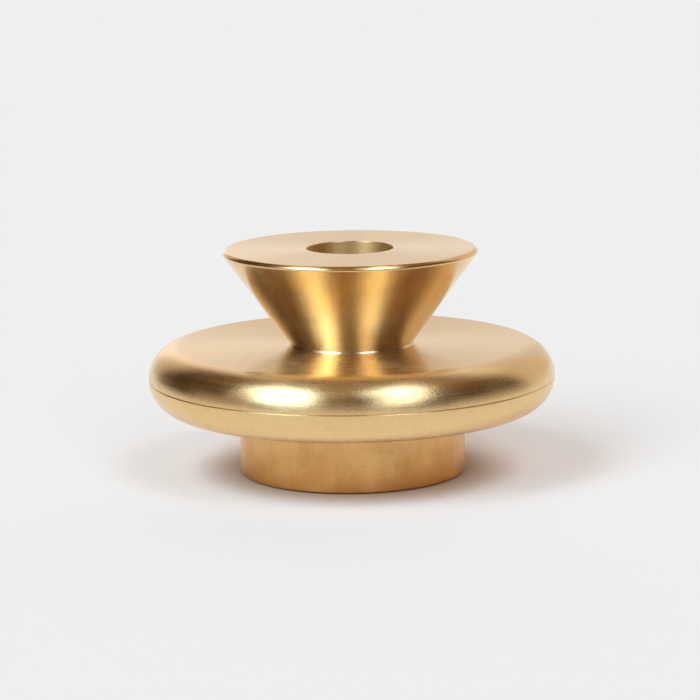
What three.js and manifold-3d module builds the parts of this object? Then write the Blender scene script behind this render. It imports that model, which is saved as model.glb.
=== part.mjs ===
import * as THREE from "three";
import { mergeVertices } from "three/addons/utils/BufferGeometryUtils.js";
import Module from "manifold-3d";

// Taper candle holder in satin turned brass: a cone with the candle's socket stands point down
// on a hollow disc with a half-round rim, and the disc stands on a drum-shaped foot. A threaded
// rod up the middle draws them together. Millimetres, +Z up, origin at the middle of the surface
// that the holder stands on.

// Driving dimensions of the candle cone
const CONE_HEIGHT = 24.8;
const CONE_TOP_RADIUS = 32.8;
const CONE_FOOT_RADIUS = 16;
const CONE_FOOT_FLARE = 0.3;
const LIP_CHAMFER = 0.75;
const LIP_LAND = 0.5;
const SOCKET_DIAMETER = 22.3;
const SOCKET_DEPTH = 18;
const SOCKET_LEAD_IN = 0.25;
const SOCKET_CORNER = 0.5;
const SOCKET_FLOOR = 2.5;

// Driving dimensions of the disc, whose rim is a half round as high as the disc
const DISC_RADIUS = 52.5;
const DISC_THICKNESS = 16.8;
const SHELL_WALL = 3;
const SEAM_LIP_HEIGHT = 1.5;
const SEAM_CHAMFER = 0.2;

// Driving dimensions of the foot, its closing plate and its felt
const FOOT_RADIUS = 29.2;
const FOOT_HEIGHT = 16.4;
const FOOT_WALL = 4;
const FOOT_EDGE_CHAMFER = 0.3;
const REBATE_WIDTH = 2;
const BASE_PLATE_THICKNESS = 1;
const FELT_THICKNESS = 1.5;
const FELT_PROUD = 0.3;

// Driving dimensions of the spigots that centre the cone and the foot in the disc
const SPIGOT_RADIUS = 8;
const SPIGOT_END_GAP = 0.6;

// Driving dimensions of the M6 hardware and of the sleeve between the disc's two walls
const THREAD_DIAMETER = 6;
const ROD_END_CHAMFER = 0.6;
const ROD_TIP_GAP = 1;
const ROD_OVERHANG = 0.8;
const ROD_PLATE_GAP = 0.8;
const NUT_ACROSS_FLATS = 10;
const NUT_HEIGHT = 3.2;
const NUT_CHAMFER_ANGLE = 30;
const WASHER_DIAMETER = 12;
const WASHER_THICKNESS = 1.6;
const WASHER_CHAMFER = 0.2;
const SPRING_WASHER_DIAMETER = 11.8;
const SPRING_WASHER_THICKNESS = 1.6;
const SPRING_WASHER_SLIT = 1.5;
const SLEEVE_WALL = 4;
const SLEEVE_CHAMFER = 0.5;

// Clearances, on the radius or between two faces
const THREAD_CLEARANCE = 0.2;
const BOLT_CLEARANCE = 0.3;
const FIT_CLEARANCE = 0.3;
const SLEEVE_CLEARANCE = 1;

// Steps round the axis on large and on small pieces, and in the rim's quarter rounds
const ROUND_STEPS = 64;
const SMALL_ROUND_STEPS = 32;
const RIM_STEPS = 8;
const INNER_RIM_STEPS = 5;

// Vertices closer than this are one point of a solid
const WELD_DISTANCE = 1e-4;

// Heights above the surface that the holder stands on
const footRimZ = FELT_PROUD;
const basePlateZ = FELT_THICKNESS;
const basePlateTopZ = basePlateZ + BASE_PLATE_THICKNESS;
const rodEndZ = basePlateTopZ + ROD_PLATE_GAP;
const nutZ = rodEndZ + ROD_OVERHANG;
const springWasherZ = nutZ + NUT_HEIGHT;
const washerZ = springWasherZ + SPRING_WASHER_THICKNESS;
const webZ = washerZ + WASHER_THICKNESS;
const discZ = footRimZ + FOOT_HEIGHT;
const seamZ = discZ + DISC_THICKNESS / 2;
const discTopZ = discZ + DISC_THICKNESS;
const coneTopZ = discTopZ + CONE_HEIGHT;
const tappedEndZ = coneTopZ - SOCKET_DEPTH - SOCKET_FLOOR;
const rodTopZ = tappedEndZ - ROD_TIP_GAP;

// Sizes that several pieces share
const rimRadius = DISC_THICKNESS / 2;
const rimCentreRadius = DISC_RADIUS - rimRadius;
const innerRimRadius = rimRadius - SHELL_WALL;
const seamSplitRadius = DISC_RADIUS - SHELL_WALL / 2;
const spigotHeight = SHELL_WALL - SPIGOT_END_GAP;
const hubHoleRadius = SPIGOT_RADIUS + FIT_CLEARANCE;
const rebateRadius = FOOT_RADIUS - REBATE_WIDTH;
const rodRadius = THREAD_DIAMETER / 2;
const threadHoleRadius = rodRadius + THREAD_CLEARANCE;
const boltHoleRadius = rodRadius + BOLT_CLEARANCE;

const brass = new THREE.MeshStandardMaterial({ color: 0xf3ce95, roughness: 0.32, metalness: 1 });
const steel = new THREE.MeshStandardMaterial({ color: 0xb9bcc0, roughness: 0.35, metalness: 1 });
const felt = new THREE.MeshStandardMaterial({ color: 0x2f2b28, roughness: 0.95, metalness: 0 });

const wasm = await Module();
wasm.setup();

// A solid of revolution. The profile's [radius, height] pairs run up the outside and down the
// inside. It closes on itself, or starts and ends on the axis.
function turned(profile, steps = ROUND_STEPS) {
  const points = profile.map(([radius, height]) => new THREE.Vector2(radius, height));
  const startsOnAxis = profile[0][0] === 0;
  if (!startsOnAxis) {
    points.push(points[0].clone());
  }
  return new THREE.LatheGeometry(points, steps).rotateX(Math.PI / 2);
}

// A flat ring or plate of revolution with the same chamfer on all its edges.
function turnedRing(outer, inner, height, chamfer, steps) {
  return turned(
    [
      [outer - chamfer, 0],
      [outer, chamfer],
      [outer, height - chamfer],
      [outer - chamfer, height],
      [inner + chamfer, height],
      [inner, height - chamfer],
      [inner, chamfer],
      [inner + chamfer, 0],
    ],
    steps,
  );
}

// Points of a profile's arc from one angle to another, in radians, ends included.
function arc(centreRadius, centreHeight, radius, from, to, steps) {
  return Array.from({ length: steps + 1 }, (_, i) => {
    const angle = from + ((to - from) * i) / steps;
    return [centreRadius + radius * Math.cos(angle), centreHeight + radius * Math.sin(angle)];
  });
}

function toManifold(geometry) {
  const bare = geometry.clone();
  bare.deleteAttribute("normal");
  bare.deleteAttribute("uv");
  const merged = mergeVertices(bare, WELD_DISTANCE);
  const vertProperties = new Float32Array(merged.attributes.position.array);
  const triVerts = new Uint32Array(merged.index.array);
  return new wasm.Manifold(new wasm.Mesh({ numProp: 3, vertProperties, triVerts }));
}

function fromManifold(solid) {
  const mesh = solid.getMesh();
  const geometry = new THREE.BufferGeometry();
  geometry.setAttribute("position", new THREE.BufferAttribute(mesh.vertProperties, 3));
  geometry.setIndex(new THREE.BufferAttribute(mesh.triVerts, 1));
  geometry.computeVertexNormals();
  return geometry;
}

// The cone's foot is at height 0 and its spigot hangs below. The lip has a chamfer over a narrow
// land, and a tapped hole runs up the spigot into the metal under the socket.
function candleCone() {
  const socketRadius = SOCKET_DIAMETER / 2;
  const socketFloor = CONE_HEIGHT - SOCKET_DEPTH;
  const tappedEnd = tappedEndZ - discTopZ;
  return turned([
    [0, tappedEnd],
    [threadHoleRadius, tappedEnd],
    [threadHoleRadius, -spigotHeight],
    [SPIGOT_RADIUS, -spigotHeight],
    [SPIGOT_RADIUS, 0],
    [CONE_FOOT_RADIUS + CONE_FOOT_FLARE, 0],
    [CONE_FOOT_RADIUS, CONE_FOOT_FLARE],
    [CONE_TOP_RADIUS, CONE_HEIGHT - LIP_CHAMFER - LIP_LAND],
    [CONE_TOP_RADIUS, CONE_HEIGHT - LIP_CHAMFER],
    [CONE_TOP_RADIUS - LIP_CHAMFER, CONE_HEIGHT],
    [socketRadius + SOCKET_LEAD_IN, CONE_HEIGHT],
    [socketRadius, CONE_HEIGHT - SOCKET_LEAD_IN],
    [socketRadius, socketFloor + SOCKET_CORNER],
    [socketRadius - SOCKET_CORNER, socketFloor],
    [0, socketFloor],
  ]);
}

// Both shells have the seam at height 0. The upper one's skirt is recessed inside for the lower
// one's lip, and a small chamfer on each leaves the fine groove of the seam.
function upperShell() {
  const seamAngle = Math.asin(SEAM_CHAMFER / rimRadius);
  const recessAngle = Math.asin(SEAM_LIP_HEIGHT / innerRimRadius);
  return turned([
    [seamSplitRadius, 0],
    [DISC_RADIUS - SEAM_CHAMFER, 0],
    ...arc(rimCentreRadius, 0, rimRadius, seamAngle, Math.PI / 2, RIM_STEPS),
    [hubHoleRadius, rimRadius],
    [hubHoleRadius, innerRimRadius],
    ...arc(rimCentreRadius, 0, innerRimRadius, Math.PI / 2, recessAngle, INNER_RIM_STEPS),
    [seamSplitRadius, SEAM_LIP_HEIGHT],
  ]);
}

function lowerShell() {
  const seamAngle = Math.asin(SEAM_CHAMFER / rimRadius);
  const lipTop = SEAM_LIP_HEIGHT - FIT_CLEARANCE;
  const lipRadius = seamSplitRadius - FIT_CLEARANCE;
  return turned([
    [hubHoleRadius, -rimRadius],
    ...arc(rimCentreRadius, 0, rimRadius, -Math.PI / 2, -seamAngle, RIM_STEPS),
    [DISC_RADIUS - SEAM_CHAMFER, 0],
    [lipRadius, 0],
    [lipRadius, lipTop],
    [rimCentreRadius + innerRimRadius, lipTop],
    ...arc(rimCentreRadius, 0, innerRimRadius, 0, -Math.PI / 2, INNER_RIM_STEPS),
    [hubHoleRadius, -innerRimRadius],
  ]);
}

// The foot's rim is at height 0. It is a drum, open below, with a thick web that the nut pulls
// up against, and a rebate round its mouth for the base plate and the felt.
function foot() {
  const web = webZ - footRimZ;
  const rebate = basePlateTopZ - footRimZ;
  const cavityRadius = FOOT_RADIUS - FOOT_WALL;
  return turned([
    [rebateRadius, 0],
    [FOOT_RADIUS - FOOT_EDGE_CHAMFER, 0],
    [FOOT_RADIUS, FOOT_EDGE_CHAMFER],
    [FOOT_RADIUS, FOOT_HEIGHT],
    [SPIGOT_RADIUS, FOOT_HEIGHT],
    [SPIGOT_RADIUS, FOOT_HEIGHT + spigotHeight],
    [boltHoleRadius, FOOT_HEIGHT + spigotHeight],
    [boltHoleRadius, web],
    [cavityRadius, web],
    [cavityRadius, rebate],
    [rebateRadius, rebate],
  ]);
}

// The sleeve keeps the disc's two walls apart while the rod is tightened.
function spacerSleeve() {
  const bore = SPIGOT_RADIUS + SLEEVE_CLEARANCE;
  const length = DISC_THICKNESS - 2 * SHELL_WALL;
  return turnedRing(bore + SLEEVE_WALL, bore, length, SLEEVE_CHAMFER, SMALL_ROUND_STEPS);
}

function threadedRod() {
  const length = rodTopZ - rodEndZ;
  const endRadius = rodRadius - ROD_END_CHAMFER;
  return turned(
    [
      [0, 0],
      [endRadius, 0],
      [rodRadius, ROD_END_CHAMFER],
      [rodRadius, length - ROD_END_CHAMFER],
      [endRadius, length],
      [0, length],
    ],
    SMALL_ROUND_STEPS,
  );
}

// A hexagonal prism with the thread's bore, whose corners are turned off above and below.
function hexNut() {
  const cornerRadius = NUT_ACROSS_FLATS / Math.sqrt(3);
  const flatRadius = NUT_ACROSS_FLATS / 2;
  const drop = (cornerRadius - flatRadius) * Math.tan(THREE.MathUtils.degToRad(NUT_CHAMFER_ANGLE));
  const corners = Array.from({ length: 6 }, (_, i) => {
    const angle = (i * Math.PI) / 3;
    return new THREE.Vector2(cornerRadius * Math.cos(angle), cornerRadius * Math.sin(angle));
  });
  const prism = new THREE.ExtrudeGeometry(new THREE.Shape(corners), {
    depth: NUT_HEIGHT,
    bevelEnabled: false,
  });
  const turnedBlank = turned(
    [
      [threadHoleRadius, 0],
      [flatRadius, 0],
      [cornerRadius, drop],
      [cornerRadius, NUT_HEIGHT - drop],
      [flatRadius, NUT_HEIGHT],
      [threadHoleRadius, NUT_HEIGHT],
    ],
    SMALL_ROUND_STEPS,
  );
  return fromManifold(toManifold(prism).intersect(toManifold(turnedBlank)));
}

// A washer that is split across, as the spring washer is once the nut has pressed it flat.
function springWasher() {
  const outer = SPRING_WASHER_DIAMETER / 2;
  const outerGap = Math.asin(SPRING_WASHER_SLIT / 2 / outer);
  const innerGap = Math.asin(SPRING_WASHER_SLIT / 2 / boltHoleRadius);
  const outline = new THREE.Shape()
    .absarc(0, 0, outer, outerGap, 2 * Math.PI - outerGap, false)
    .absarc(0, 0, boltHoleRadius, 2 * Math.PI - innerGap, innerGap, true)
    .closePath();
  return new THREE.ExtrudeGeometry(outline, {
    depth: SPRING_WASHER_THICKNESS,
    bevelEnabled: false,
    curveSegments: SMALL_ROUND_STEPS,
  });
}

function flatWasher() {
  const outer = WASHER_DIAMETER / 2;
  return turnedRing(outer, boltHoleRadius, WASHER_THICKNESS, WASHER_CHAMFER, SMALL_ROUND_STEPS);
}

function plate(radius, thickness) {
  return turned([
    [0, 0],
    [radius, 0],
    [radius, thickness],
    [0, thickness],
  ]);
}

function piece(name, geometry, material, height) {
  const mesh = new THREE.Mesh(geometry, material);
  mesh.name = name;
  mesh.position.z = height;
  return mesh;
}

const plateRadius = rebateRadius - FIT_CLEARANCE;
const holder = new THREE.Group();
holder.add(
  piece("candle_cone", candleCone(), brass, discTopZ),
  piece("upper_disc_shell", upperShell(), brass, seamZ),
  piece("lower_disc_shell", lowerShell(), brass, seamZ),
  piece("spacer_sleeve", spacerSleeve(), steel, discZ + SHELL_WALL),
  piece("foot", foot(), brass, footRimZ),
  piece("threaded_rod", threadedRod(), steel, rodEndZ),
  piece("flat_washer", flatWasher(), steel, washerZ),
  piece("spring_washer", springWasher(), steel, springWasherZ),
  piece("hex_nut", hexNut(), steel, nutZ),
  piece("base_plate", plate(plateRadius, BASE_PLATE_THICKNESS), steel, basePlateZ),
  piece("felt_pad", plate(plateRadius, FELT_THICKNESS), felt, 0),
);

export default holder;
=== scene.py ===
"""A turned brass taper candle holder: a cone with the candle's socket stands point down on a hollow
disc with a half-round rim, and the disc stands on a drum-shaped foot. Metres, in the frame's axes."""

import math
from collections import namedtuple

import bmesh
import bpy
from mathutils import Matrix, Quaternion, Vector, noise


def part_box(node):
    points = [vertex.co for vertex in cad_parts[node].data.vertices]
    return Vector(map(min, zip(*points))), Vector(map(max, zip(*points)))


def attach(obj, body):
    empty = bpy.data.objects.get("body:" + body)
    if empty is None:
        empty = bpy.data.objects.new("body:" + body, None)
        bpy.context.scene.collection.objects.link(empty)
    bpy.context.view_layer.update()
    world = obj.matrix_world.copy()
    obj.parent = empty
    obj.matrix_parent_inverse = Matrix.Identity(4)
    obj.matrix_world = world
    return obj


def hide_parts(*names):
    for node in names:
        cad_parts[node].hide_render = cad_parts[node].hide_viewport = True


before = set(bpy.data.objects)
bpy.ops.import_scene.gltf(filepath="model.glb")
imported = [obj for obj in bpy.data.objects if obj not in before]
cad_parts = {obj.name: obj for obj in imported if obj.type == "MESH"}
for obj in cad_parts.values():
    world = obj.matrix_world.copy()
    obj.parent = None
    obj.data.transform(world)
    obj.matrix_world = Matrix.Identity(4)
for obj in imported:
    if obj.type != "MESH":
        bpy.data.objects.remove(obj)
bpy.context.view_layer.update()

MM = 0.001
TINY = 0.0001 * MM
BODY = "root"

# Fineness of the turned meshes. A straight run longer than LONG_RUN gets extra points, two of them
# SUPPORT away from its ends.
LARGE_STEPS = 256
SMALL_STEPS = 96
ROUND_POINTS = 6
RIM_POINTS = 40
SUPPORT = 0.04 * MM
LONG_RUN = 8 * SUPPORT
SHARP_ANGLE = math.radians(32)

# Candle cone
CONE_FOOT_RADIUS = 16 * MM
CONE_FOOT_FLARE = 0.2 * MM
CONE_FOOT_FLARE_HEIGHT = 0.36 * MM
LIP_CHAMFER = 0.75 * MM
LIP_LAND = 0.5 * MM
LIP_ROUND = 0.8 * MM
SOCKET_RADIUS = 11.15 * MM
SOCKET_DEPTH = 18 * MM
SOCKET_LEAD_IN = 0.25 * MM
SOCKET_CORNER = 0.5 * MM
SOCKET_FLOOR = 2.5 * MM

# Disc and foot
SHELL_WALL = 3 * MM
SEAM_LIP_HEIGHT = 1.5 * MM
SEAM_CHAMFER = 0.16 * MM
FOOT_WALL = 4 * MM
FOOT_WEB = 10.5 * MM
FOOT_EDGE_CHAMFER = 0.3 * MM
FOOT_REBATE = 2 * MM
SPIGOT_RADIUS = 8 * MM

# Joining parts, with an M6 thread. Its flat crests and roots are shares of the pitch.
THREAD_RADIUS = 3 * MM
THREAD_DEPTH = 0.55 * MM
THREAD_PITCH = 1 * MM
THREAD_CREST = 0.25
THREAD_ROOT = 0.125
THREAD_RINGS = 12
THREAD_GAP = 0.1 * MM
BOLT_CLEARANCE = 0.3 * MM
FIT = 0.3 * MM
NUT_FLAT_RADIUS = 5 * MM
NUT_CHAMFER = math.radians(30)
SPRING_SLIT = 1.1 * MM
SPRING_SKEW = 0.6 * MM
SLEEVE_BORE = 9 * MM

# Felt, whose nap is uneven over about NAP_SIZE
NAP_DEPTH = 0.12 * MM
NAP_SIZE = 0.9 * MM
NAP_FALL_OFF = 1
NAP_LACUNARITY = 2.2
NAP_OCTAVES = 3
FELT_RINGS = 60
FELT_EDGE_RINGS = 8
FELT_EDGE_IN = 0.1 * MM
FELT_EDGE_UP = 0.02 * MM

# Breaks on turned, pressed and cut edges
EDGE_ROUND = 0.08 * MM
HIDDEN_EDGE_ROUND = 0.15 * MM
WASHER_EDGE_ROUND = 0.2 * MM
SLEEVE_EDGE_ROUND = 0.5 * MM

# Brass. Each piece's colour goes from low_tone to high_tone between two heights in millimetres, which
# clouds raise or lower by up to half of the wander set below. This change with height is painted
# light: a painted highlight makes the cone's lower flank paler, and painted shade darkens the disc's
# upper half and the foot's bottom. The lines round the axis spread reflections up and down. Lines and
# grain are depths in millimetres, and stain is the share by which the clouds change the colour.
# Lines, and marks that run down a wall, change it by FINE_STAIN of that.
Brass = namedtuple("Brass", "low_tone high_tone low_z high_z roughness anisotropy lines grain stain")
BRASS_TONE = Vector((0.9, 0.62, 0.3))
# Paler brass on the cone's lower flank: a painted highlight where the bright streaks reach down
CONE_PAINTED_HIGHLIGHT_TONE = Vector((0.88, 0.72, 0.52))
# Darker brass on the disc's upper half: painted shade that dims the reflections on its top
DISC_PAINTED_SHADE_TONE = Vector((0.84, 0.585, 0.285))
# Darker, redder brass at the foot's bottom: painted shade near the floor under the disc
FOOT_PAINTED_SHADE_TONE = Vector((0.74, 0.38, 0.12))
FOOT_HIGH_TONE = Vector((0.82, 0.51, 0.205))
CONE_BRASS = Brass(CONE_PAINTED_HIGHLIGHT_TONE, BRASS_TONE, 38, 54, 0.2, 0.89, 0.003, 0.004, 0.03)
DISC_BRASS = Brass(BRASS_TONE, DISC_PAINTED_SHADE_TONE, 19, 25, 0.265, 0.81, 0.0025, 0.026, 0.02)
FOOT_BRASS = Brass(FOOT_PAINTED_SHADE_TONE, FOOT_HIGH_TONE, 1, 14, 0.33, 0.78, 0.006, 0.006, 0.05)
# Clouds move the heights of the painted highlight and painted shade by up to half of this, in
# millimetres
PAINTED_TONE_WANDER = 20
FINE_STAIN = 0.6
LINE_ROUGHNESS = 0.03
CLOUD_ROUGHNESS = 0.02
DRILLED_ROUGHNESS = 0.75
SOCKET_BLEND_MM = 0.2
UP_AND_DOWN = 0.25

# Steel and felt
ZINC_DARK = (0.56, 0.57, 0.58, 1)
ZINC_PALE = (0.66, 0.66, 0.65, 1)
ZINC_ROUGHNESS = (0.28, 0.42)
ZINC_BUMP = 0.02 * MM
ZINC_BUMP_STRENGTH = 0.2
FELT_DARK = (0.035, 0.031, 0.028, 1)
FELT_PALE = (0.085, 0.077, 0.07, 1)
FELT_ROUGHNESS = 0.95
FELT_SHEEN = 0.3
FELT_BUMP = 0.2 * MM
FELT_BUMP_STRENGTH = 0.8

# Noise patterns, with their scales in 1/mm. Before its scale applies, the pattern of lines moves on by
# so much per millimetre outwards and upwards. That of the marks goes round on a circle of radius
# MARKS_ROUND and moves up by MARKS_UP per millimetre. The ranges are the part of a noise's values that
# a ramp spreads out.
Pattern = namedtuple("Pattern", "scale detail roughness")
LINES = Pattern(1.6, 4, 0.6)
LINES_OUTWARDS = 3.1
LINES_UPWARDS = 4.3
MARKS = Pattern(1, 5, 0.65)
MARKS_ROUND = 30
MARKS_UP = 0.12
CLOUDS = Pattern(0.13, 3, 0.55)
GRAIN = Pattern(1.6, 2, 0.6)
SPANGLE = Pattern(0.9, 3, 0.6)
PLATING = Pattern(4, 3, 0.5)
FIBRES = Pattern(2.4, 6, 0.7)
WIDE_RANGE = (0.3, 0.7)
NARROW_RANGE = (0.35, 0.65)

# Camera, at the photograph's viewing angle, with its lens and sensor in millimetres
LENS = 141.79
SENSOR = 36
CAMERA_DISTANCE = 713.4 * MM
CAMERA_ELEVATION = math.radians(10.503)
CAMERA_ROLL = math.radians(-0.792)
CAMERA_TARGET = Vector((-0.348, 0, 31.49)) * MM
NEAREST_SEEN = 0.01
FARTHEST_SEEN = 100

# Studio: levels where 1 renders a white surface white, tints, and patches of light on an endless
# sphere, whose azimuth is 0 towards the camera and grows to the right, with all angles in degrees
BACKDROP = 0.855
FLOOR_COLOUR = (0.718, 0.64, 0.59, 1)
FLOOR_GLOW = 0.27
GLOW_STARTS = 28 * MM
GLOW_IS_FULL = 46 * MM
FLOOR_HALF = 40
WHITE = Vector((1, 1, 1))
IVORY = Vector((1, 0.9, 0.77))
DAYLIGHT = Vector((0.86, 1, 1.15))
SKY = Vector((0.72, 1, 1.22))
WARM = Vector((1, 0.6, 0.3))
ROOM = 0.055 * WARM
Patch = namedtuple("Patch", "level tint azimuth half_width elevation half_height soft")
STUDIO = {
    "left softbox": Patch(4.5, SKY, -50, 8, 45, 14, 7),
    "left softbox, top": Patch(3.4, SKY, -60, 24, 55, 10, 8),
    "left softbox, low": Patch(3, SKY, -44, 18, 40, 17, 7),
    "left softbox, foot": Patch(1.5, DAYLIGHT, -37, 14, 27, 9, 8),
    "left softbox, side": Patch(0.8, IVORY, -72, 7, 46, 22, 9),
    "low wall, left": Patch(0.33, IVORY, -77, 21, 9, 8, 7),
    "right softbox": Patch(2.8, SKY, 37, 26, 60, 8, 9),
    "right softbox, middle": Patch(4.8, SKY, 46, 12, 63, 6, 7),
    "right softbox, top": Patch(0.45, SKY, 30, 24, 66, 7, 7),
    "right softbox, side": Patch(1.2, WHITE, 68, 9, 64, 6, 7),
    "right softbox, low": Patch(2.5, DAYLIGHT, 36, 15, 40, 8, 8),
    "right softbox, foot": Patch(2.7, DAYLIGHT, 27, 12, 27, 6, 8),
    "beside the right softbox": Patch(0.05, WARM, 95, 20, 40, 12, 10),
    "between the softboxes": Patch(0.23, IVORY, -14, 8, 58, 22, 9),
    "low wall, right": Patch(0.33, IVORY, 85, 27, 6, 6, 6),
    "low wall, front": Patch(0.34, IVORY, -3, 26, 8, 12, 9),
    "ceiling": Patch(0.2, WARM, 0, 400, 84, 36, 17),
    "wall, right": Patch(0.66, IVORY, 139, 23, 16, 21, 8),
    "wall, behind": Patch(0.8, WHITE, 180, 17, 18, 24, 11),
    "wall, left": Patch(0.56, IVORY, -157, 15, 11, 23, 8),
    "rear light": Patch(0.9, WHITE, 164, 38, 45, 7, 7),
}

# Shared sizes and heights, from the frame
box_low = {}
box_high = {}
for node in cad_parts:
    box_low[node], box_high[node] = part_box(node)
disc_top = box_high["upper_disc_shell"].z
disc_bottom = box_low["lower_disc_shell"].z
seam = (disc_top + disc_bottom) / 2
rim_radius = (disc_top - disc_bottom) / 2
rim_middle = box_high["upper_disc_shell"].x - math.sqrt(rim_radius**2 - SEAM_CHAMFER**2)
inner_rim_radius = rim_radius - SHELL_WALL
seam_edge_radius = rim_middle + rim_radius - SEAM_CHAMFER
seam_split_radius = rim_middle + rim_radius - SHELL_WALL / 2
seam_angle = math.asin(SEAM_CHAMFER / rim_radius)
hub_radius = SPIGOT_RADIUS + FIT
bolt_radius = THREAD_RADIUS + BOLT_CLEARANCE


# Turned shapes

def arc(middle_r, middle_z, radius, start, end):
    """Points of a profile's arc. Angles are in radians, from straight out towards up."""
    angles = [start + (end - start) * i / RIM_POINTS for i in range(RIM_POINTS + 1)]
    return [(middle_r + radius * math.cos(a), middle_z + radius * math.sin(a)) for a in angles]


def corner_round(before, corner, after, radius):
    """The points of a round of that radius in a profile's corner."""
    to_before = (before - corner).normalized()
    to_after = (after - corner).normalized()
    half = to_before.angle(to_after) / 2
    middle = corner + (to_before + to_after).normalized() * radius / math.sin(half)
    start = corner + to_before * radius / math.tan(half) - middle
    end = corner + to_after * radius / math.tan(half) - middle
    turn = start.angle(end)
    points = []
    for i in range(ROUND_POINTS + 1):
        share = i / ROUND_POINTS
        spoke = start * math.sin((1 - share) * turn) + end * math.sin(share * turn)
        points.append(middle + spoke / math.sin(turn))
    return points


def profile(*corners):
    """A profile from corners (r, z) or (r, z, radius of the corner's round). Long straight runs get
    extra points near both ends, so that smooth shading stays flat along them."""
    points = []
    for i, corner in enumerate(corners):
        here = Vector(corner[:2])
        if len(corner) == 2:
            points.append(here)
        else:
            before = Vector(corners[i - 1][:2])
            after = Vector(corners[(i + 1) % len(corners)][:2])
            points += corner_round(before, here, after, corner[2])
    supported = []
    for here, after in zip(points, points[1:] + points[:1]):
        supported.append(here)
        run = after - here
        on_axis = here.x < TINY and after.x < TINY
        if run.length > LONG_RUN and not on_axis:
            step = run.normalized() * SUPPORT
            supported += [here + step, here + run / 2, after - step]
    return supported


def thread_radius(angle, height, gap):
    """Radius of the thread's surface: flat crests and roots with 60 degree flanks between them."""
    phase = (height / THREAD_PITCH - angle / (2 * math.pi)) % 1
    from_crest = abs(phase - 0.5) * 2
    rise = (1 - THREAD_ROOT - from_crest) / (1 - THREAD_ROOT - THREAD_CREST)
    return THREAD_RADIUS - THREAD_DEPTH * (1 - min(1, max(0, rise))) + gap


def thread_rings(start, end, gap):
    """Rings of a threaded wall from one height to another."""
    count = max(2, round(abs(end - start) / THREAD_PITCH * THREAD_RINGS))

    def ring_at(height):
        return lambda angle: (thread_radius(angle, height, gap), height)

    return [ring_at(start + (end - start) * i / count) for i in range(count + 1)]


def on_circle(radius, angle, z):
    return radius * math.cos(angle), radius * math.sin(angle), z


def revolve(name, rings, steps=LARGE_STEPS):
    """A closed mesh through rings about Z. A ring is a point (r, z) or a function of the angle that
    gives one. Rings that start and end on the axis close there, others close on themselves."""
    shape = bmesh.new()
    circles = []
    for ring in rings:
        if not callable(ring) and ring[0] < TINY:
            circles.append([shape.verts.new((0, 0, ring[1]))])
            continue
        circle = []
        for i in range(steps):
            angle = 2 * math.pi * i / steps
            r, z = ring(angle) if callable(ring) else ring
            circle.append(shape.verts.new(on_circle(r, angle, z)))
        circles.append(circle)
    pairs = list(zip(circles, circles[1:]))
    if len(circles[0]) > 1:
        pairs.append((circles[-1], circles[0]))
    for low, high in pairs:
        for i in range(steps):
            j = (i + 1) % steps
            corners = [low[i % len(low)], low[j % len(low)], high[j % len(high)], high[i % len(high)]]
            shape.faces.new(dict.fromkeys(corners))
    return finished(name, shape)


def finished(name, shape):
    """Turns a bmesh into a smooth-shaded object with its sharp edges marked."""
    bmesh.ops.recalc_face_normals(shape, faces=shape.faces)
    for face in shape.faces:
        face.smooth = True
    for edge in shape.edges:
        edge.smooth = edge.calc_face_angle() < SHARP_ANGLE
    mesh = bpy.data.meshes.new(name)
    shape.to_mesh(mesh)
    shape.free()
    return placed(name, mesh)


def placed(name, data):
    """Puts a new object with this mesh or camera in the scene."""
    thing = bpy.data.objects.new(name, data)
    bpy.context.scene.collection.objects.link(thing)
    return thing


def dress(piece, material, node):
    """Gives a piece its finish and puts it in the place of its CAD node."""
    piece.data.materials.append(material)
    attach(piece, BODY)
    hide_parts(node)


# Pieces

def cone():
    """The lip has a soft chamfer over a narrow land, the foot flares out to a fine bright line, and a
    tapped hole runs up the spigot into the metal under the socket."""
    low, high = box_low["candle_cone"], box_high["candle_cone"]
    top, radius = high.z, high.x
    floor_z = top - SOCKET_DEPTH
    tapped_end = floor_z - SOCKET_FLOOR
    crest = THREAD_RADIUS + THREAD_GAP
    outside = profile(
        (0, tapped_end),
        (crest, tapped_end),
        (crest, low.z + THREAD_DEPTH),
        (crest + THREAD_DEPTH, low.z, EDGE_ROUND),
        (SPIGOT_RADIUS, low.z, HIDDEN_EDGE_ROUND),
        (SPIGOT_RADIUS, disc_top),
        (CONE_FOOT_RADIUS + CONE_FOOT_FLARE, disc_top),
        (CONE_FOOT_RADIUS, disc_top + CONE_FOOT_FLARE_HEIGHT, EDGE_ROUND),
        (radius, top - LIP_CHAMFER - LIP_LAND, EDGE_ROUND),
        (radius, top - LIP_CHAMFER, LIP_ROUND),
        (radius - LIP_CHAMFER, top, LIP_ROUND),
        (SOCKET_RADIUS + SOCKET_LEAD_IN, top, EDGE_ROUND),
        (SOCKET_RADIUS, top - SOCKET_LEAD_IN, EDGE_ROUND),
        (SOCKET_RADIUS, floor_z, SOCKET_CORNER),
        (0, floor_z),
    )
    # The thread's rings take the place of the bore's straight run
    on_bore = [i for i, point in enumerate(outside) if abs(point.x - crest) < TINY]
    thread = thread_rings(tapped_end - SUPPORT, low.z + THREAD_DEPTH + SUPPORT, THREAD_GAP)
    return revolve("cone", outside[:on_bore[0] + 1] + thread + outside[on_bore[-1]:])


def upper_shell():
    """Its skirt is recessed inside for the lower shell's lip, and its edge makes half of the groove
    at the seam."""
    recess_angle = math.asin(SEAM_LIP_HEIGHT / inner_rim_radius)
    return revolve("upper_disc", profile(
        (seam_split_radius, seam, EDGE_ROUND),
        (seam_edge_radius, seam),
        *arc(rim_middle, seam, rim_radius, seam_angle, math.pi / 2),
        (hub_radius, disc_top, HIDDEN_EDGE_ROUND),
        (hub_radius, disc_top - SHELL_WALL, HIDDEN_EDGE_ROUND),
        *arc(rim_middle, seam, inner_rim_radius, math.pi / 2, recess_angle),
        (seam_split_radius, seam + SEAM_LIP_HEIGHT, EDGE_ROUND),
    ))


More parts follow.
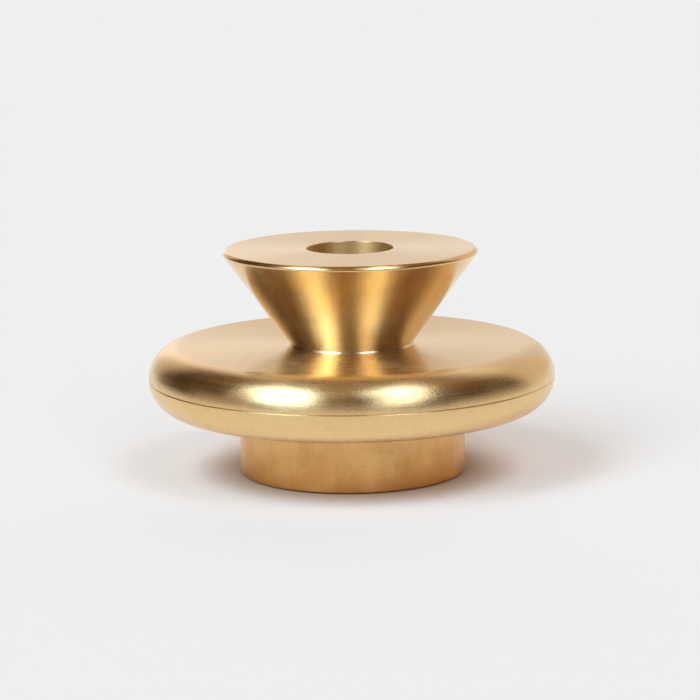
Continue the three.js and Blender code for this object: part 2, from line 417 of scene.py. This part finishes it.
def lower_shell():
    """Its lip stands up inside the upper shell, and its edge makes the other half of the groove."""
    lip_radius = seam_split_radius - FIT
    lip_top = seam + SEAM_LIP_HEIGHT - FIT
    return revolve("lower_disc", profile(
        (hub_radius, disc_bottom, HIDDEN_EDGE_ROUND),
        *arc(rim_middle, seam, rim_radius, -math.pi / 2, -seam_angle),
        (seam_edge_radius, seam),
        (lip_radius, seam, EDGE_ROUND),
        (lip_radius, lip_top, HIDDEN_EDGE_ROUND),
        (rim_middle + inner_rim_radius, lip_top, HIDDEN_EDGE_ROUND),
        *arc(rim_middle, seam, inner_rim_radius, 0, -math.pi / 2),
        (hub_radius, disc_bottom + SHELL_WALL, HIDDEN_EDGE_ROUND),
    ))


def foot():
    """A drum, open below, with a thick web for the nut and a rebate for the base plate and felt."""
    low, high = box_low["foot"], box_high["foot"]
    radius = high.x
    rebate_radius = radius - FOOT_REBATE
    rebate_z = box_high["base_plate"].z
    cavity_radius = radius - FOOT_WALL
    return revolve("foot_ring", profile(
        (rebate_radius, low.z, EDGE_ROUND),
        (radius - FOOT_EDGE_CHAMFER, low.z, EDGE_ROUND),
        (radius, low.z + FOOT_EDGE_CHAMFER, EDGE_ROUND),
        (radius, disc_bottom),
        (SPIGOT_RADIUS, disc_bottom, HIDDEN_EDGE_ROUND),
        (SPIGOT_RADIUS, high.z, HIDDEN_EDGE_ROUND),
        (bolt_radius, high.z, HIDDEN_EDGE_ROUND),
        (bolt_radius, FOOT_WEB, HIDDEN_EDGE_ROUND),
        (cavity_radius, FOOT_WEB, HIDDEN_EDGE_ROUND),
        (cavity_radius, rebate_z, HIDDEN_EDGE_ROUND),
        (rebate_radius, rebate_z, HIDDEN_EDGE_ROUND),
    ))


def base_plate():
    """A thin disc that closes the foot."""
    low, high = box_low["base_plate"], box_high["base_plate"]
    return revolve("bottom_plate", profile(
        (0, low.z),
        (high.x, low.z, HIDDEN_EDGE_ROUND),
        (high.x, high.z, HIDDEN_EDGE_ROUND),
        (0, high.z),
    ))


def collar(name, node, bore, edge):
    """A plain ring, such as a washer or a sleeve, with rounded edges."""
    low, high = box_low[node], box_high[node]
    return revolve(name, profile(
        (bore, low.z, edge),
        (high.x, low.z, edge),
        (high.x, high.z, edge),
        (bore, high.z, edge),
    ), SMALL_STEPS)


def rod():
    """Threaded from end to end, with a small chamfer at both."""
    low, high = box_low["threaded_rod"], box_high["threaded_rod"]
    root = THREAD_RADIUS - THREAD_DEPTH
    chamfer = THREAD_DEPTH / 4
    return revolve("rod", [
        (0, low.z),
        (root - chamfer, low.z),
        (root, low.z + chamfer),
        *thread_rings(low.z + THREAD_DEPTH, high.z - THREAD_DEPTH, 0),
        (root, high.z - chamfer),
        (root - chamfer, high.z),
        (0, high.z),
    ], SMALL_STEPS)


def nut():
    """A hexagon whose corners are turned off above and below, with the rod's thread in its bore."""
    low, high = box_low["hex_nut"], box_high["hex_nut"]
    mouth = THREAD_DEPTH + THREAD_GAP

    def hexagon(z, into):
        """The side face's edge near height z. into is +1 where the metal lies above z, or -1."""
        def ring(angle):
            from_flat = angle % (math.pi / 3) - math.pi / 6
            r = NUT_FLAT_RADIUS / math.cos(from_flat)
            return r, z + into * (r - NUT_FLAT_RADIUS + EDGE_ROUND) * math.tan(NUT_CHAMFER)
        return ring

    return revolve("nut", [
        *thread_rings(high.z - mouth, low.z + mouth, THREAD_GAP),
        (THREAD_RADIUS + mouth, low.z),
        (NUT_FLAT_RADIUS - EDGE_ROUND, low.z),
        hexagon(low.z, 1),
        hexagon(high.z, -1),
        (NUT_FLAT_RADIUS - EDGE_ROUND, high.z),
        (THREAD_RADIUS + mouth, high.z),
    ], SMALL_STEPS)


def spring_washer():
    """A rounded square section swept round to a slanted slit."""
    low, high = box_low["spring_washer"], box_high["spring_washer"]
    outer = -low.x
    section = profile(
        (bolt_radius, low.z, HIDDEN_EDGE_ROUND),
        (outer, low.z, HIDDEN_EDGE_ROUND),
        (outer, high.z, HIDDEN_EDGE_ROUND),
        (bolt_radius, high.z, HIDDEN_EDGE_ROUND),
    )
    middle_r = (bolt_radius + outer) / 2
    middle_z = (low.z + high.z) / 2
    slant = SPRING_SKEW / (high.z - low.z)
    shape = bmesh.new()
    rows = []
    for i in range(SMALL_STEPS + 1):
        share = i / SMALL_STEPS
        row = []
        for r, z in section:
            shift = SPRING_SLIT / 2 * (1 - 2 * share) + slant * (z - middle_z)
            angle = 2 * math.pi * share + shift / middle_r
            row.append(shape.verts.new(on_circle(r, angle, z)))
        rows.append(row)
    count = len(section)
    for here, after in zip(rows, rows[1:]):
        for i in range(count):
            j = (i + 1) % count
            shape.faces.new((here[i], here[j], after[j], after[i]))
    shape.faces.new(rows[0])
    shape.faces.new(rows[-1])
    return finished("spring_washer_split", shape)


def felt():
    """A cut disc. Its lower face and its edge are a little uneven, inside the node's space."""
    low, high = box_low["felt_pad"], box_high["felt_pad"]
    radius = high.x

    def nap(place):
        rough = noise.fractal(Vector(place) / NAP_SIZE, NAP_FALL_OFF, NAP_LACUNARITY, NAP_OCTAVES)
        return NAP_DEPTH * min(1, max(0, 0.5 + 0.5 * rough))

    def ring_at(r, z, inwards, upwards):
        """A ring that the nap moves by those shares of its depth."""
        def ring(angle):
            lift = nap(on_circle(r, angle, z))
            return r - inwards * lift, z + upwards * lift
        return ring

    face = [ring_at(radius * i / FELT_RINGS, low.z, 0, 1) for i in range(1, FELT_RINGS - 1)]
    corner = ring_at(radius - FELT_EDGE_IN, low.z + FELT_EDGE_UP, 1, 1)
    thickness = high.z - low.z
    edge_heights = [low.z + thickness * i / FELT_EDGE_RINGS for i in range(1, FELT_EDGE_RINGS)]
    edge = [ring_at(radius, z, 1, 0) for z in edge_heights]
    return revolve("felt_disc", [
        (0, low.z + NAP_DEPTH / 2),
        *face,
        corner,
        *edge,
        (radius - NAP_DEPTH, high.z),
        (0, high.z),
    ])


# Finishes

class Nodes:
    """Short calls for building a node tree."""

    def __init__(self, owner):
        owner.use_nodes = True
        self.tree = owner.node_tree
        self.tree.nodes.clear()

    def add(self, kind, inputs=None, **settings):
        """A new node. Its inputs are given by name or number, as values or as sockets to link."""
        node = self.tree.nodes.new(kind)
        for name, value in settings.items():
            setattr(node, name, value)
        for key, value in (inputs or {}).items():
            if isinstance(value, bpy.types.NodeSocket):
                self.tree.links.new(value, node.inputs[key])
            else:
                node.inputs[key].default_value = value
        return node

    def math(self, operation, *values):
        return self.add("ShaderNodeMath", dict(enumerate(values)), operation=operation).outputs[0]

    def ramp(self, value, low, high, to_low=0.0, to_high=1.0):
        """Turns low..high into to_low..to_high with soft ends."""
        inputs = {"Value": value, "From Min": low, "From Max": high, "To Min": to_low, "To Max": to_high}
        return self.add("ShaderNodeMapRange", inputs, interpolation_type="SMOOTHSTEP").outputs[0]

    def mix_numbers(self, share, a, b):
        """Goes from a to b. The node has inputs of the same name for each type, so numbers pick them."""
        return self.add("ShaderNodeMix", {0: share, 2: a, 3: b}, data_type="FLOAT").outputs[0]

    def mix_colours(self, share, a, b):
        return self.add("ShaderNodeMix", {0: share, 6: a, 7: b}, data_type="RGBA").outputs[2]

    def noise(self, vector, pattern):
        return self.add("ShaderNodeTexNoise", {
            "Vector": vector,
            "Scale": pattern.scale,
            "Detail": pattern.detail,
            "Roughness": pattern.roughness,
        }).outputs["Fac"]

    def vector(self, x, y, z):
        return self.add("ShaderNodeCombineXYZ", {0: x, 1: y, 2: z}).outputs[0]

    def coordinates(self, kind):
        return self.add("ShaderNodeTexCoord").outputs[kind]

    def split(self, vector):
        return self.add("ShaderNodeSeparateXYZ", {0: vector}).outputs

    def place_in_mm(self):
        """The place on the object in millimetres."""
        place = {0: self.coordinates("Object"), "Scale": 1 / MM}
        return self.add("ShaderNodeVectorMath", place, operation="SCALE").outputs[0]


def brass(name, look):
    """Turned brass, duller in the drilled socket."""
    material = bpy.data.materials.new(name)
    nodes = Nodes(material)
    place = nodes.place_in_mm()
    x, y, z = nodes.split(place)
    squares = nodes.math("ADD", nodes.math("MULTIPLY", x, x), nodes.math("MULTIPLY", y, y))
    radius = nodes.math("SQRT", squares)
    around_x = nodes.math("DIVIDE", x, radius)
    around_y = nodes.math("DIVIDE", y, radius)
    outwards = nodes.math("MULTIPLY", radius, LINES_OUTWARDS)
    upwards = nodes.math("MULTIPLY", z, LINES_UPWARDS)
    lines = nodes.noise(nodes.vector(around_x, around_y, nodes.math("ADD", outwards, upwards)), LINES)
    marks_x = nodes.math("MULTIPLY", around_x, MARKS_ROUND)
    marks_y = nodes.math("MULTIPLY", around_y, MARKS_ROUND)
    marks_z = nodes.math("MULTIPLY", z, MARKS_UP)
    marks = nodes.noise(nodes.vector(marks_x, marks_y, marks_z), MARKS)
    clouds = nodes.noise(place, CLOUDS)
    grain = nodes.noise(place, GRAIN)

    turning = nodes.add("ShaderNodeBump", {"Distance": look.lines * MM, "Height": lines})
    scratches = nodes.add("ShaderNodeBump", {
        "Distance": look.grain * MM,
        "Height": grain,
        "Normal": turning.outputs[0],
    })

    least, most = look.roughness - LINE_ROUGHNESS, look.roughness + LINE_ROUGHNESS
    from_lines = nodes.ramp(lines, *WIDE_RANGE, least, most)
    from_clouds = nodes.ramp(clouds, *WIDE_RANGE, -CLOUD_ROUGHNESS, CLOUD_ROUGHNESS)
    turned = nodes.math("ADD", from_lines, from_clouds)
    socket_mm = SOCKET_RADIUS / MM
    is_turned = nodes.ramp(radius, socket_mm, socket_mm + SOCKET_BLEND_MM)
    roughness = nodes.mix_numbers(is_turned, DRILLED_ROUGHNESS, turned)

    # Colour by height holds painted light: the cone is paler low down as a painted highlight, and the
    # disc's upper half and the foot's bottom are darker as painted shade
    height = nodes.math("MULTIPLY_ADD", nodes.math("SUBTRACT", clouds, 0.5), PAINTED_TONE_WANDER, z)
    is_high = nodes.ramp(height, look.low_z, look.high_z)
    tone = nodes.mix_colours(is_high, (*look.low_tone, 1), (*look.high_tone, 1))
    shade = 1.0
    for pattern, share in ((clouds, 1), (lines, FINE_STAIN), (marks, FINE_STAIN)):
        change = look.stain * share
        shade = nodes.math("ADD", nodes.ramp(pattern, *NARROW_RANGE, -change, change), shade)
    colour = nodes.add("ShaderNodeVectorMath", {0: tone, "Scale": shade}, operation="SCALE")

    shader = nodes.add("ShaderNodeBsdfPrincipled", {
        "Base Color": colour.outputs[0],
        "Metallic": 1,
        "Roughness": roughness,
        "Anisotropic": look.anisotropy,
        "Anisotropic Rotation": UP_AND_DOWN,
        "Tangent": nodes.add("ShaderNodeTangent", direction_type="RADIAL", axis="Z").outputs[0],
        "Normal": scratches.outputs[0],
    })
    nodes.add("ShaderNodeOutputMaterial", {"Surface": shader.outputs[0]})
    return material


def steel():
    """Zinc-plated steel with a faint spangle."""
    material = bpy.data.materials.new("steel")
    nodes = Nodes(material)
    place = nodes.place_in_mm()
    spangle = nodes.noise(place, SPANGLE)
    bump = nodes.add("ShaderNodeBump", {
        "Strength": ZINC_BUMP_STRENGTH,
        "Distance": ZINC_BUMP,
        "Height": nodes.noise(place, PLATING),
    })
    shader = nodes.add("ShaderNodeBsdfPrincipled", {
        "Base Color": nodes.mix_colours(spangle, ZINC_DARK, ZINC_PALE),
        "Metallic": 1,
        "Roughness": nodes.ramp(spangle, *WIDE_RANGE, *ZINC_ROUGHNESS),
        "Normal": bump.outputs[0],
    })
    nodes.add("ShaderNodeOutputMaterial", {"Surface": shader.outputs[0]})
    return material


def felt_cloth():
    """Dense dark wool, whose fibres show in its colour and its surface."""
    material = bpy.data.materials.new("felt")
    nodes = Nodes(material)
    fibres = nodes.noise(nodes.place_in_mm(), FIBRES)
    bump = nodes.add("ShaderNodeBump", {
        "Strength": FELT_BUMP_STRENGTH,
        "Distance": FELT_BUMP,
        "Height": fibres,
    })
    shader = nodes.add("ShaderNodeBsdfPrincipled", {
        "Base Color": nodes.mix_colours(fibres, FELT_DARK, FELT_PALE),
        "Roughness": FELT_ROUGHNESS,
        "Sheen Weight": FELT_SHEEN,
        "Normal": bump.outputs[0],
    })
    nodes.add("ShaderNodeOutputMaterial", {"Surface": shader.outputs[0]})
    return material


# Light, floor and camera

def studio_light():
    """Soft lights and pale walls in a dim room, all by direction. The camera itself sees an even
    backdrop in their place."""
    world = bpy.data.worlds.new("studio")
    bpy.context.scene.world = world
    nodes = Nodes(world)
    x, y, z = nodes.split(nodes.coordinates("Generated"))
    azimuth = nodes.math("DEGREES", nodes.math("ARCTAN2", x, nodes.math("MULTIPLY", y, -1.0)))
    elevation = nodes.math("DEGREES", nodes.math("ARCSINE", z))

    def within(value, half, soft):
        """1 where value is nearer 0 than half and 0 beyond it, over twice the softness."""
        return nodes.ramp(nodes.math("ABSOLUTE", value), half - soft, half + soft, 1.0, 0.0)

    light = ROOM
    for patch in STUDIO.values():
        turn = nodes.math("WRAP", nodes.math("SUBTRACT", azimuth, patch.azimuth), 180.0, -180.0)
        rise = nodes.math("SUBTRACT", elevation, patch.elevation)
        in_width = within(turn, patch.half_width, patch.soft)
        in_height = within(rise, patch.half_height, patch.soft)
        shape = nodes.math("MULTIPLY", in_width, in_height)
        sum_of_lights = {0: shape, 1: patch.level * patch.tint, 2: light}
        light = nodes.add("ShaderNodeVectorMath", sum_of_lights, operation="MULTIPLY_ADD").outputs[0]

    is_camera_ray = nodes.add("ShaderNodeLightPath").outputs["Is Camera Ray"]
    colour = nodes.mix_colours(is_camera_ray, light, (BACKDROP, BACKDROP, BACKDROP, 1))
    background = nodes.add("ShaderNodeBackground", {"Color": colour})
    nodes.add("ShaderNodeOutputWorld", {"Surface": background.outputs[0]})


def studio_floor():
    """A pale matt table. It glows a little, but not under the object, so that the wide shadow is
    pale and the narrow one at the foot is dark."""
    mesh = bpy.data.meshes.new("floor")
    corners = [(-1, -1), (1, -1), (1, 1), (-1, 1)]
    mesh.from_pydata([(x * FLOOR_HALF, y * FLOOR_HALF, 0) for x, y in corners], [], [(0, 1, 2, 3)])
    material = bpy.data.materials.new("floor")
    nodes = Nodes(material)
    from_middle = nodes.add("ShaderNodeVectorMath", {0: nodes.coordinates("Object")}, operation="LENGTH")
    distance = from_middle.outputs["Value"]
    diffuse = nodes.add("ShaderNodeBsdfDiffuse", {"Color": FLOOR_COLOUR})
    strength = nodes.ramp(distance, GLOW_STARTS, GLOW_IS_FULL, 0.0, FLOOR_GLOW)
    glow = nodes.add("ShaderNodeEmission", {"Strength": strength})
    both = nodes.add("ShaderNodeAddShader", {0: diffuse.outputs[0], 1: glow.outputs[0]})
    nodes.add("ShaderNodeOutputMaterial", {"Surface": both.outputs[0]})
    mesh.materials.append(material)
    placed("floor", mesh)


def camera():
    """Looks down at the object from in front, a little rolled, as in the photograph."""
    data = bpy.data.cameras.new("camera")
    data.lens = LENS
    data.sensor_width = SENSOR
    data.clip_start = NEAREST_SEEN
    data.clip_end = FARTHEST_SEEN
    view = placed("camera", data)
    back = Vector((0, -math.cos(CAMERA_ELEVATION), math.sin(CAMERA_ELEVATION)))
    view.location = CAMERA_TARGET + back * CAMERA_DISTANCE
    view.rotation_mode = "QUATERNION"
    roll = Quaternion((0, 0, 1), CAMERA_ROLL)
    view.rotation_quaternion = (-back).to_track_quat("-Z", "Y") @ roll
    bpy.context.scene.camera = view


# The whole scene
camera()
studio_light()
studio_floor()
bpy.context.scene.view_settings.view_transform = "Standard"

plated_steel = steel()
black_felt = felt_cloth()
disc_brass = brass("disc_brass", DISC_BRASS)
dress(cone(), brass("cone_brass", CONE_BRASS), "candle_cone")
dress(upper_shell(), disc_brass, "upper_disc_shell")
dress(lower_shell(), disc_brass, "lower_disc_shell")
dress(foot(), brass("foot_brass", FOOT_BRASS), "foot")
sleeve = collar("sleeve", "spacer_sleeve", SLEEVE_BORE, SLEEVE_EDGE_ROUND)
dress(sleeve, plated_steel, "spacer_sleeve")
dress(rod(), plated_steel, "threaded_rod")
washer = collar("washer", "flat_washer", bolt_radius, WASHER_EDGE_ROUND)
dress(washer, plated_steel, "flat_washer")
dress(spring_washer(), plated_steel, "spring_washer")
dress(nut(), plated_steel, "hex_nut")
dress(base_plate(), plated_steel, "base_plate")
pad = felt()
dress(pad, black_felt, "felt_pad")
